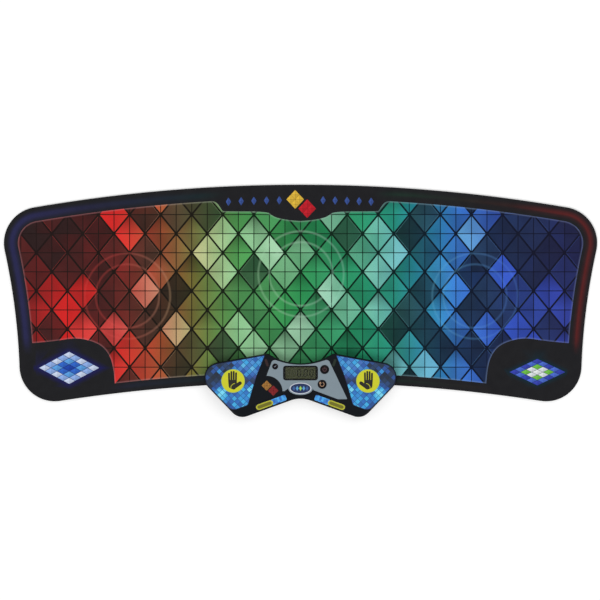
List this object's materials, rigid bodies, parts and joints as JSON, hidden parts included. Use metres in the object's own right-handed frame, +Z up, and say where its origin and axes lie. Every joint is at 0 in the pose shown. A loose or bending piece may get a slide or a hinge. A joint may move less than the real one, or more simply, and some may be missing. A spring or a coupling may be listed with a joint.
{
  "type": "speed cube timer",
  "caption": "Hand timer with touch pads, a display and push buttons, snapped onto the front edge of a printed play mat.",
  "frame": {"origin": "middle of the whole outline, on the table", "axes": "+X to the player's right, +Y away from the player, +Z up"},
  "size_m": [0.84, 0.3286, 0.0231],
  "materials": {
    "mat_rubber": "matte foam rubber",
    "mat_cloth": "printed cloth",
    "stud_plastic": "moulded",
    "housing_plastic": "satin moulded",
    "panel_film": "printed film, grey",
    "pad_plastic": "printed film, blue",
    "copper_foil": "bare foil",
    "tinned_wire": "insulated wire",
    "clear_window": "clear",
    "mask_ink": "black print",
    "display_cell": "liquid crystal cell with reflector",
    "holder_plastic": "moulded",
    "strip_rubber": "conductive rubber",
    "button_plastic": "moulded, printed",
    "plunger_plastic": "moulded",
    "switch_plastic": "moulded",
    "board_laminate": "solder mask",
    "chip_resin": "moulded",
    "can_steel": "drawn can",
    "led_resin": "diffused resin",
    "red_window": "smoked red",
    "green_window": "smoked green",
    "socket_plastic": "moulded",
    "cell_jacket": "plain jacket",
    "spring_steel": "nickel plated",
    "red_wire": "insulated wire",
    "black_wire": "insulated wire",
    "screw_steel": "zinc plated",
    "foot_rubber": "matte",
    "label_film": "printed film, yellow and blue"
  },
  "bodies": {
    "mat": {"mat_base": "mat_rubber", "mat_cloth": "mat_cloth", "mat_snap_studs": "stud_plastic"},
    "timer": {"lower_housing": "housing_plastic", "upper_housing": "housing_plastic", "face_panel": "panel_film", "left_touch_pad": "pad_plastic", "right_touch_pad": "pad_plastic", "left_sensor_foil": "copper_foil", "right_sensor_foil": "copper_foil", "left_sensor_lead": "tinned_wire", "right_sensor_lead": "tinned_wire", "display_window": "clear_window", "display_mask": "mask_ink", "display_glass": "display_cell", "display_holder": "holder_plastic", "connector_strips": "strip_rubber", "switch_bodies": "switch_plastic", "circuit_board": "board_laminate", "controller_chips": "chip_resin", "quartz_can": "can_steel", "status_leds": "led_resin", "left_status_window": "red_window", "right_status_window": "green_window", "data_socket": "socket_plastic", "battery_cells": "cell_jacket", "battery_springs": "spring_steel", "battery_plates": "spring_steel", "battery_lead_positive": "red_wire", "battery_lead_negative": "black_wire", "housing_screws": "screw_steel", "board_screws": "screw_steel", "rubber_feet": "foot_rubber", "left_front_label": "label_film", "right_front_label": "label_film"},
    "power_button": {"power_button": "button_plastic", "power_switch_plunger": "plunger_plastic"},
    "clear_button": {"clear_button": "button_plastic", "clear_switch_plunger": "plunger_plastic"},
    "mode_button": {"mode_button": "button_plastic", "mode_switch_plunger": "plunger_plastic"},
    "battery_door": {"battery_door": "housing_plastic"}
  },
  "joints": [
    {"name": "timer_lift", "type": "slide", "parent": "mat", "child": "timer", "axis": [0, 0, 1], "range_m": [0, 0.012]},
    {"name": "power_button_press", "type": "slide", "parent": "timer", "child": "power_button", "axis": [0, 0, -1], "range_m": [0, 0.0007], "stiffness_N_per_m": 1500, "springref_m": -0.0003},
    {"name": "clear_button_press", "type": "slide", "parent": "timer", "child": "clear_button", "axis": [0, 0, -1], "range_m": [0, 0.0007], "stiffness_N_per_m": 1500, "springref_m": -0.0003},
    {"name": "mode_button_press", "type": "slide", "parent": "timer", "child": "mode_button", "axis": [0, 0, -1], "range_m": [0, 0.0007], "stiffness_N_per_m": 1500, "springref_m": -0.0003},
    {"name": "battery_door_hinge", "type": "hinge", "parent": "timer", "child": "battery_door", "pos_m": [-0.0775, -0.12325, 0.0021], "axis": [1, 0, 0], "range_deg": [0, 60]}
  ]
}
